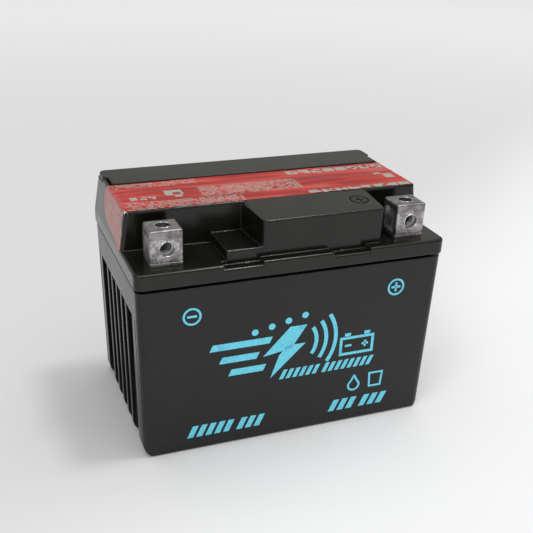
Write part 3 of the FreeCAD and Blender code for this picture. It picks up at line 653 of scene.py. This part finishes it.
# --- Terminals ----------------------------------------------------------------
@dataclass
class Terminals:
    """Cast lead terminals with burred hole rims, and the plated nuts inside them."""

    hole_radius: float = 2.65 * MM
    front_hole_drop: float = 6.425 * MM
    burr: float = 0.2 * MM
    uneven: float = 0.4
    section_points: int = 12
    round_points: int = 72
    seed: int = 40

    def build(self) -> None:
        """Dress the CAD nodes and add a burred rim to each of the four holes."""
        lead = CastLead("terminal_lead").material()
        rubbed_and_highlight = CastLead("rubbed_lead", (0.3, 0.3, 0.3), (0.88, 0.88, 0.88), 0.26).material()
        dress_nodes(["negative_terminal", "positive_terminal"], lead)
        dress_nodes(["negative_nut", "positive_nut"], PlatedSteel("nut_steel").material())
        for count, side in enumerate(("negative", "positive")):
            low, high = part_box(side + "_terminal")
            middle = (low + high) / 2
            front = Vector((middle.x, low.y, high.z - self.front_hole_drop))
            top = Vector((middle.x, middle.y, high.z))
            self.rim(side + "_front_rim", front, Vector((0, -1, 0)), Vector((1, 0, 0)), rubbed_and_highlight, 2 * count)
            self.rim(side + "_top_rim", top, Vector((0, 0, 1)), Vector((1, 0, 0)), rubbed_and_highlight, 2 * count + 1)

    def rim(self, name: str, centre: Vector, axis: Vector, across: Vector,
            material: bpy.types.Material, place: int) -> None:
        """Ring round a hole whose section swells and thins at random.

        With b(a) = burr * (1 + uneven * sum of three sines of a), the ring is
        centre + (R + b cos s) * (cos a, sin a) in the hole's plane + b sin s along its axis.

        Args:
            name: Name of the piece.
            centre: Middle of the hole on the terminal's face.
            axis: Direction out of the hole.
            across: Direction in the face that the angle counts from.
            material: Finish of the rim.
            place: Number of the hole, which gives it an unevenness of its own.
        """
        random = np.random.default_rng(self.seed + place)
        section, angle = np.meshgrid(np.linspace(0, math.tau, self.section_points, endpoint=False),
                                     np.linspace(0, math.tau, self.round_points, endpoint=False),
                                     indexing="ij")
        waves = sum(random.uniform(0.3, 1.0) * np.sin(turns * angle + random.uniform(0, math.tau))
                    for turns in (2, 3, 7))
        burr = self.burr * (1 + self.uneven * waves)
        radius = self.hole_radius - self.burr * 0.3 + burr * np.cos(section)
        side = axis.cross(across)
        outward = (np.cos(angle)[..., None] * np.array(across)
                   + np.sin(angle)[..., None] * np.array(side))
        points = (np.array(centre) + radius[..., None] * outward
                  + (burr * np.sin(section))[..., None] * np.array(axis))
        count = self.round_points
        faces = grid_faces(self.section_points, count, wrap=True)
        last = grid_faces(2, count, wrap=True)
        closing = np.where(last >= count, last - count, last + (self.section_points - 1) * count)
        ring = make_object(name, points, np.concatenate([faces, closing])[:, ::-1])
        dress(ring, material)
        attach(ring, "battery")
        LOG.info("%s at %s", name, [round(part, 4) for part in centre])


# --- Cells --------------------------------------------------------------------
@dataclass
class Cells:
    """Plate packs, straps and welds inside the case."""

    positive: InnerFinish = InnerFinish("positive_paste", Texture.PASTE,
                                        (0.075, 0.028, 0.016), (0.16, 0.07, 0.04))
    negative: InnerFinish = InnerFinish("negative_paste", Texture.PASTE,
                                        (0.17, 0.18, 0.19), (0.3, 0.31, 0.33))
    mat: InnerFinish = InnerFinish("glass_mat", Texture.FIBRE,
                                   (0.7, 0.7, 0.68), (0.88, 0.88, 0.86), 0.95)

    def build(self) -> None:
        """Dress every node of the cells."""
        dress_nodes(numbered("positive_plates"), self.positive.material())
        dress_nodes(numbered("negative_plates"), self.negative.material())
        dress_nodes(numbered("separators"), self.mat.material())
        lead = CastLead("lead", (0.13, 0.135, 0.14), (0.34, 0.345, 0.35), 0.5)
        straps = numbered("positive_strap") + numbered("negative_strap")
        dress_nodes(straps + ["intercell_welds"], lead.material())


# --- Seal tape ----------------------------------------------------------------
Outline = tuple[tuple[float, float], ...]


@dataclass
class SealTape:
    """Red film stuck along the top of the cover, folded over its left end in a torn flap."""

    thickness: float = 0.08 * MM
    strip_gap: float = 0.6 * MM
    flat_end: float = 0.2 * MM
    end_wrap: float = 0.9 * MM
    fold_radius: float = 1.1 * MM
    cover_lean: float = 2.1 * MM
    lean_height: float = 14.7 * MM
    columns: int = 80
    top_rows: int = 240
    flap_rows: int = 70
    ridges: int = 46
    ridge_height: float = 0.17 * MM
    seed: int = 7
    path_step: float = 0.02 * MM
    path_end: float = 22 * MM
    tear_jag: float = 0.45
    side_jag: float = 0.3
    edge_jag: float = 0.22
    sliver_radius: float = 0.55 * MM
    sliver_width: float = 2.0 * MM
    sliver_inset: float = 0.75 * MM
    sliver_rows: int = 18
    sliver_columns: int = 10
    front_tear: Outline = ((0.0, 0.0), (1.7, 1.2), (3.3, 1.9), (4.7, 2.8), (6.6, 1.5), (8.6, 0.4),
                           (10.8, 0.9), (13.6, 0.5), (16.4, 2.3))
    bottom_tear: Outline = ((14.8, 5.7), (14.0, 10.2), (13.5, 14.3), (13.2, 18.5), (12.4, 23.6))
    rear_tear: Outline = ((0.0, 0.0), (1.7, 1.6), (3.4, 3.5), (6.9, 3.4), (9.1, 2.0), (11.2, 0.5))

    def build(self) -> None:
        """Make the film and its curled sliver, and hide the plain CAD tape."""
        self.low, self.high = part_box("seal_tape")
        self.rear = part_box("cap_strip")[0].y - self.strip_gap
        self.width = self.rear - self.low.y
        self.lean = math.atan2(self.cover_lean, self.lean_height)
        self.lay_path()
        along, across = self.flat_grid()
        film = make_object("seal_tape_film", self.folded(along, across, self.ripples(along, across)),
                           grid_faces(*along.shape))
        layer = film.data.uv_layers.new(name="tape")
        corner = np.zeros(len(film.data.loops), np.int32)
        film.data.loops.foreach_get("vertex_index", corner)
        flat = np.stack([along, across], -1).reshape(-1, 2) / self.width
        layer.data.foreach_set("uv", flat[corner].astype(np.float32).ravel())
        thicken(film, self.thickness)
        dress(film, TapeFilm("tape_film", self.width / MM).material())
        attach(film, "battery")
        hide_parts("seal_tape")
        LOG.info("seal_tape_film with %d faces", len(film.data.polygons))
        self.sliver()

    def lay_path(self) -> None:
        """Section of the tape in X and Z as a table over the distance along it.

        The heading h turns from 0, along the top towards -X, to 90 degrees less the lean over the
        fold's arc, and to 90 degrees at the foot of the lean. At the right end it starts below 0,
        where the tape bends over the edge. Then x = x0 - sum of cos h and z = z0 - sum of sin h.
        """
        turn = math.pi / 2 - self.lean
        arc = self.fold_radius * turn
        foot = arc + self.lean_height - self.fold_radius
        fold_to_end = self.high.x - (self.low.x + self.cover_lean + self.fold_radius)
        bend = -fold_to_end - self.flat_end
        self.length = self.end_wrap - bend
        along = np.arange(-self.length, self.path_end, self.path_step)
        heading = turn * np.clip(along / arc, 0, 1) + self.lean * np.clip((along - foot) / MM, 0, 1)
        heading += np.minimum(along - bend, 0) / self.fold_radius
        x = -np.cumsum(np.cos(heading)) * self.path_step
        z = -np.cumsum(np.sin(heading)) * self.path_step
        self.path_along = along
        self.path_x = x + self.high.x - np.interp(-fold_to_end, along, x)
        self.path_z = z + self.high.z - self.thickness - np.interp(-fold_to_end, along, z)
        self.path_heading = heading

    def flat_grid(self) -> tuple[np.ndarray, np.ndarray]:
        """Grid over the flat tape, its top part a rectangle and its flap a patch between torn edges.

        The patch is a Coons patch: (1 - v) F(t) + v R(t) + (1 - t) T(v) + t B(v) less the bilinear
        patch of its corners, with F and R its front and rear edges, T the fold and B the tear.

        Returns:
            Distance down from the fold, negative along the top, and distance from the front edge.
        """
        v = np.linspace(0, 1, self.columns)
        t = np.linspace(0, 1, self.flap_rows)
        front = along_line(self.front_tear, self.flap_rows)
        rear = along_line(self.rear_tear, self.flap_rows)
        rear[:, 1] += self.width / MM
        tear = along_line([self.front_tear[-1], *self.bottom_tear, tuple(rear[-1])], self.columns)
        random = np.random.default_rng(self.seed)
        tear[:, 0] += jagged(random, self.tear_jag, self.columns, 5) * np.sin(math.pi * v)
        front[:, 1] += jagged(random, self.side_jag, self.flap_rows, 5) * np.sin(math.pi * t)
        fold = np.stack([np.zeros(self.columns), v * self.width / MM], -1)
        t, v = t[:, None, None], v[None, :, None]
        corners = ((1 - t) * (1 - v) * fold[0] + (1 - t) * v * fold[-1]
                   + t * (1 - v) * tear[0] + t * v * tear[-1])
        flap = (1 - v) * front[:, None] + v * rear[:, None] + (1 - t) * fold[None] + t * tear[None] - corners
        top = np.zeros((self.top_rows, self.columns, 2))
        top[..., 0] = np.linspace(-self.length / MM, 0, self.top_rows, endpoint=False)[:, None]
        edge = jagged(random, self.edge_jag, self.top_rows, 3)[:, None]
        top[..., 1] = v[0, :, 0] * self.width / MM + edge * (1 - v[0, :, 0]) ** 4
        grid = np.concatenate([top, flap]) * MM
        return -grid[..., 0], grid[..., 1]

    def ripples(self, along: np.ndarray, across: np.ndarray) -> np.ndarray:
        """Height of the wrinkles: a sum of ridges h exp(-((v - c - k u) / w)^2) cos^2(pi (u - m) / l).

        Args:
            along: Distance along the tape from the fold, u.
            across: Distance from the front edge, v.

        Returns:
            Height above the smooth film, in metres.
        """
        random = np.random.default_rng(self.seed + 1)
        shape = (self.ridges, 1, 1)
        centre = random.uniform(0, self.width, shape)
        slope = random.normal(0, 0.06, shape)
        width = random.uniform(0.5, 2.2, shape) * MM
        middle = random.uniform(-14 * MM, self.length, shape)
        length = random.uniform(12, 46, shape) * MM
        height = random.uniform(0.3, 1.0, shape) * self.ridge_height
        share = np.clip((along - middle) / length, -0.5, 0.5)
        line = (across - centre - slope * (along - middle)) / width
        total = (height * np.exp(-line ** 2) * np.cos(math.pi * share) ** 2).sum(0)
        return np.minimum(total, 2.4 * self.ridge_height)

    def folded(self, along: np.ndarray, across: np.ndarray, height: np.ndarray) -> np.ndarray:
        """Places of flat points once the tape is folded over the end of the cover.

        Args:
            along: Distance along the tape from the fold, positive along the top.
            across: Distance from the front edge.
            height: Height above the smooth film.

        Returns:
            Places in the row frame.
        """
        down = -along
        x, z, heading = (np.interp(down, self.path_along, table)
                         for table in (self.path_x, self.path_z, self.path_heading))
        return np.stack([x - np.sin(heading) * height, self.low.y + across,
                         z + np.cos(heading) * height], -1)

    def sliver(self) -> None:
        """Curled sliver at the front of the fold.

        It is a strip rolled up as r = r0 (1 - 0.35 t) at the angle a = 4.2 t - 0.6, and its width
        shrinks to 0.6 of itself at the free end.
        """
        t, v = np.meshgrid(np.linspace(0, 1, self.sliver_rows), np.linspace(0, 1, self.sliver_columns),
                           indexing="ij")
        radius = self.sliver_radius * (1 - 0.35 * t)
        angle = 4.2 * t - 0.6
        x = self.low.x + self.cover_lean + self.sliver_inset - radius * np.cos(angle)
        y = self.low.y - 0.25 * MM + (v - 0.15) * self.sliver_width * (1 - 0.4 * t)
        z = self.high.z - self.sliver_inset + radius * np.sin(angle)
        curl = make_object("tape_sliver", np.stack([x, y, z], -1),
                           grid_faces(self.sliver_rows, self.sliver_columns))
        thicken(curl, self.thickness)
        dress(curl, PrintInk("tape_backing", (0.8, 0.78, 0.75), (0.62, 0.5, 0.47)).material())
        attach(curl, "battery")
        LOG.info("tape_sliver at the fold")


# --- Printed marks ------------------------------------------------------------
Patch = tuple[np.ndarray, np.ndarray]
QUAD = np.array([[0, 1, 2, 3]])


def on_circle(x: float, z: float, radius: float, angle: np.ndarray) -> np.ndarray:
    """Points (x + r cos a, z + r sin a) of a circle, one row each."""
    return np.stack([x + radius * np.cos(angle), z + radius * np.sin(angle)], -1)


@dataclass
class PrintedMarks:
    """Generic blue marks on the case's front, in millimetres from its middle and its foot."""

    rim: float = 65.0
    draft: float = 0.9
    lift: float = 0.03 * MM
    ink: PrintInk = PrintInk("print_blue", (0.18, 0.8, 1.0), (0.09, 0.5, 0.78))
    line: float = 0.75
    thin_line: float = 0.8
    bold_line: float = 1.1
    wave_line: float = 1.5
    sign_stroke: float = 0.85
    slant: float = 0.45

    def build(self) -> None:
        """Print every mark."""
        self.material = self.ink.material()
        self.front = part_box("case")[0].y / MM
        self.mark("print_minus", [self.ring(-37.6, 54.5, 2.9),
                                  self.bar(-37.6, 54.5, 3.4, self.sign_stroke)])
        self.mark("print_plus", [self.ring(38.6, 54.9, 2.95), self.bar(38.6, 54.9, 3.6, self.sign_stroke),
                                 self.bar(38.6, 54.9, self.sign_stroke, 3.6)])
        self.mark("print_bolt", self.bolt())
        self.mark("print_speed_bars", [self.slab(-31.5, -9.5, 39.6, 42.2),
                                       self.slab(-28.0, -14.2, 34.2, 36.8),
                                       self.slab(-24.5, -11.5, 28.8, 31.4)])
        self.mark("print_waves", [self.arc(-1.0, 38.0, radius) for radius in (9.6, 13.4, 17.2)])
        self.mark("print_dots", [self.disc(-15.0 + 6.2 * place, 44.8 + 1.35 * place, 1.25)
                                 for place in range(4)])
        self.mark("print_caption", self.bar_row(-5.2, 32.0, 23.8, 27.6, 14, 0.62, 6))
        self.mark("print_pictogram", self.cell_sign(25.0, 33.4))
        self.mark("print_symbols", [self.drop(25.4, 16.6), self.frame_sign(34.4, 16.8)])
        self.mark("print_model_bars", self.bar_row(-39.6, -11.0, 5.3, 10.1, 8, 0.66, 5))
        self.mark("print_rating_bars", self.bar_row(15.6, 39.2, 5.4, 10.2, 6, 0.66, 3))

    def mark(self, name: str, patches: Sequence[Patch]) -> None:
        """Lay flat patches on the drafted front as one thin film of ink.

        A point (x, z) goes to y = front + draft * (1 - z / rim) - lift.

        Args:
            name: Name of the piece.
            patches: Flat vertices and faces of each patch, in millimetres.
        """
        starts = np.cumsum([0] + [len(points) for points, _ in patches])
        points = np.concatenate([points for points, _ in patches])
        groups = [faces + start for (_, faces), start in zip(patches, starts)]
        x, z = points.T
        y = self.front + self.draft * (1 - z / self.rim)
        places = np.stack([x, y, z], -1) * MM - np.array([0, self.lift, 0])
        faces = [face for group in groups for face in group.tolist()]
        made = make_object(name, places, faces, smooth=False)
        thicken(made, self.lift * 0.9)
        dress(made, self.material)
        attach(made, "battery")
        LOG.info("%s with %d patches", name, len(patches))

    def stroke(self, path: np.ndarray, width: float, closed: bool) -> Patch:
        """Band of even width along a line, its corners mitred.

        At each point the band's sides are p +- n w / 2 / cos(half the turn), with n the mean of the
        two neighbouring normals.

        Args:
            path: Points of the line, anticlockwise where it is closed.
            width: Width of the band.
            closed: Whether the last point joins the first.

        Returns:
            Vertices and faces.
        """
        ahead = np.roll(path, -1, 0) - path
        if not closed:
            ahead[-1] = ahead[-2]
        ahead /= np.linalg.norm(ahead, axis=1)[:, None]
        back = np.roll(ahead, 1, 0)
        if not closed:
            back[0] = ahead[0]
        mean = ahead + back
        mean /= np.linalg.norm(mean, axis=1)[:, None]
        normal = np.stack([mean[:, 1], -mean[:, 0]], -1)
        reach = width / 2 / np.clip((mean * ahead).sum(1), 0.35, 1)
        sides = np.stack([path + normal * reach[:, None], path - normal * reach[:, None]])
        return sides.reshape(-1, 2), grid_faces(2, len(path), wrap=closed)[:, ::-1]

    def ring(self, x: float, z: float, radius: float) -> Patch:
        """Ring about a point."""
        angle = np.linspace(0, math.tau, 64, endpoint=False)
        return self.stroke(on_circle(x, z, radius, angle), self.line, True)

    def arc(self, x: float, z: float, radius: float) -> Patch:
        """Part of a ring that opens to the left, like a wave."""
        angle = np.radians(np.linspace(-34, 34, 28))
        return self.stroke(on_circle(x, z, radius, angle), self.wave_line, False)

    def bar(self, x: float, z: float, width: float, height: float) -> Patch:
        """Upright rectangle about a point."""
        half = np.array([[-1, -1], [1, -1], [1, 1], [-1, 1]]) * (width / 2, height / 2)
        return half + (x, z), QUAD

    def slab(self, left: float, right: float, low: float, high: float) -> Patch:
        """Bar whose ends lean to the right by a fixed share of its height."""
        lean = self.slant * (high - low)
        corners = np.array([[left, low], [right, low], [right + lean, high], [left + lean, high]])
        return corners, QUAD

    def disc(self, x: float, z: float, radius: float) -> Patch:
        """Filled circle."""
        angle = np.linspace(0, math.tau, 28, endpoint=False)
        return on_circle(x, z, radius, angle), np.arange(28)[None]

    def bolt(self) -> list[Patch]:
        """Lightning bolt of two leaning halves."""
        upper = np.array([[-11.8, 34.4], [-1.0, 36.2], [4.6, 45.0], [-1.8, 45.0]])
        lower = np.array([[-8.6, 25.0], [4.4, 37.6], [-2.4, 37.6], [-5.6, 34.0]])
        return [(upper, QUAD), (lower, QUAD)]

    def bar_row(self, left: float, right: float, low: float, high: float, count: int,
                fill: float, gap_after: int) -> list[Patch]:
        """Row of leaning bars, (right - left) / (count + 1/2) apart, with a gap of half a place.

        Args:
            left: Left end of the row.
            right: Right end.
            low: Foot of the bars.
            high: Top of the bars.
            count: Number of bars.
            fill: Share of each place that its bar takes.
            gap_after: Place of the gap.

        Returns:
            One patch a bar.
        """
        pitch = (right - left) / (count + 0.5)
        starts = left + pitch * (np.arange(count) + 0.5 * (np.arange(count) >= gap_after))
        return [self.slab(start, start + fill * pitch, low, high) for start in starts]

    def cell_sign(self, x: float, z: float) -> list[Patch]:
        """Outline of a battery with its two poles."""
        corners = np.array([[-6.4, -3.4], [6.4, -3.4], [6.4, 3.2], [-6.4, 3.2]]) + (x, z)
        poles = [self.bar(x + side * 3.9, z + 4.6, 2.4, 1.3) for side in (-1, 1)]
        signs = [self.bar(x + side * 3.4, z, 2.6, 0.9) for side in (-1, 1)]
        return [self.stroke(corners, self.bold_line, True), *poles, *signs, self.bar(x + 3.4, z, 0.9, 2.6)]

    def drop(self, x: float, z: float) -> Patch:
        """Outline of a drop: a circle of radius 2.2 that narrows upwards and is drawn up to a point.

        With u = max(0, sin a), it is (2.2 cos a (1 - u^3 / 2), 2.2 sin a + 1.9 u^6 - 0.9).
        """
        angle = np.linspace(-math.pi / 2, 1.5 * math.pi, 48, endpoint=False)
        up = np.clip(np.sin(angle), 0, 1)
        across = x + 2.2 * np.cos(angle) * (1 - 0.5 * up ** 3)
        height = z - 0.9 + 2.2 * np.sin(angle) + 1.9 * up ** 6
        return self.stroke(np.stack([across, height], -1), self.thin_line, True)

    def frame_sign(self, x: float, z: float) -> Patch:
        """Outline of a square that widens upwards."""
        corners = np.array([[-2.3, -2.9], [2.3, -2.9], [2.7, 2.9], [-2.7, 2.9]]) + (x, z)
        return self.stroke(corners, self.thin_line, True)


# --- Studio -------------------------------------------------------------------
@dataclass(frozen=True)
class Softbox:
    """Square lamp aimed at the middle of the battery."""

    name: str
    place: Place
    size: float
    power: float
    tint: Colour = (1.0, 1.0, 1.0)

    def build(self, target: Vector) -> None:
        """Hang the lamp and aim it at the target."""
        lamp = bpy.data.lights.new(self.name, "AREA")
        lamp.shape = "SQUARE"
        lamp.size = self.size
        lamp.energy = self.power
        lamp.color = self.tint
        holder = bpy.data.objects.new(self.name, lamp)
        bpy.context.scene.collection.objects.link(holder)
        here = Vector(self.place)
        turn = (target - here).to_track_quat("-Z", "Y").to_matrix().to_4x4()
        holder.matrix_world = Matrix.Translation(here) @ turn
        LOG.info("lamp %s", self.name)


@dataclass
class Studio:
    """Pale floor, soft lamps, bright surroundings and the camera."""

    floor_reach: float = 6.0
    floor_rows: int = 25
    surround: Colour = (0.95, 0.945, 0.9)
    surround_strength: float = 0.5
    eye: Place = (-0.104525, -0.264796, 0.179956)
    azimuth: float = 20.55
    elevation: float = 27.06
    roll: float = 1.54
    lens: float = 55.19
    shift: tuple[float, float] = (0.0359, 0.0808)
    paper: StudioPaper = StudioPaper("studio_paper")
    lamps: tuple[Softbox, ...] = (
        Softbox("lamp_sky", (0.0, 0.0, 3.2), 4.0, 42.0),
        Softbox("lamp_key", (1.2, -0.2, 3.7), 0.6, 36.0, (1.0, 0.985, 0.96)),
        Softbox("lamp_left", (-2.0, -1.5, 2.8), 1.2, 20.0),
    )

    def build(self) -> None:
        """Set the whole studio."""
        self.build_floor()
        self.build_surround()
        low, high = CAD_BOX
        for lamp in self.lamps:
            lamp.build((low + high) / 2)
        self.build_camera()
        bpy.context.scene.view_settings.view_transform = "Standard"

    def build_floor(self) -> None:
        """Flat sheet of paper: x and y are reach * t |t|, so that the faces are small near the battery."""
        t = np.linspace(-1, 1, self.floor_rows)
        reach = self.floor_reach * t * abs(t)
        x, y = np.meshgrid(reach, reach, indexing="ij")
        floor = make_object("floor", np.stack([x, y, np.zeros_like(x)], -1),
                            grid_faces(self.floor_rows, self.floor_rows)[:, ::-1])
        dress(floor, self.paper.material())

    def build_surround(self) -> None:
        """Even light from all round."""
        world = bpy.data.worlds.new("surround")
        world.use_nodes = True
        background = world.node_tree.nodes["Background"]
        background.inputs["Color"].default_value = (*self.surround, 1.0)
        background.inputs["Strength"].default_value = self.surround_strength
        bpy.context.scene.world = world

    def build_camera(self) -> None:
        """Camera that looks down at the front and the left end."""
        azimuth, elevation, roll = np.radians([self.azimuth, self.elevation, self.roll]).tolist()
        level = math.cos(elevation)
        ahead = Vector((math.sin(azimuth) * level, math.cos(azimuth) * level, -math.sin(elevation)))
        right = ahead.cross(Vector((0, 0, 1))).normalized()
        right = Matrix.Rotation(-roll, 3, ahead) @ right
        up = right.cross(ahead)
        lens = bpy.data.cameras.new("camera")
        lens.lens = self.lens
        lens.shift_x, lens.shift_y = self.shift
        lens.clip_start = 0.01
        holder = bpy.data.objects.new("camera", lens)
        bpy.context.scene.collection.objects.link(holder)
        turn = Matrix((right, up, -ahead)).transposed().to_4x4()
        holder.matrix_world = Matrix.Translation(Vector(self.eye)) @ turn
        bpy.context.scene.camera = holder


def main() -> None:
    """Build every part of the scene in order."""
    logging.basicConfig(level=logging.INFO, format="%(name)s: %(message)s")
    for part in (Housing(), CapStrip(), Terminals(), Cells(), SealTape(), PrintedMarks(), Studio()):
        LOG.info("building %s", type(part).__name__)
        part.build()


if __name__ == "__main__":
    main()
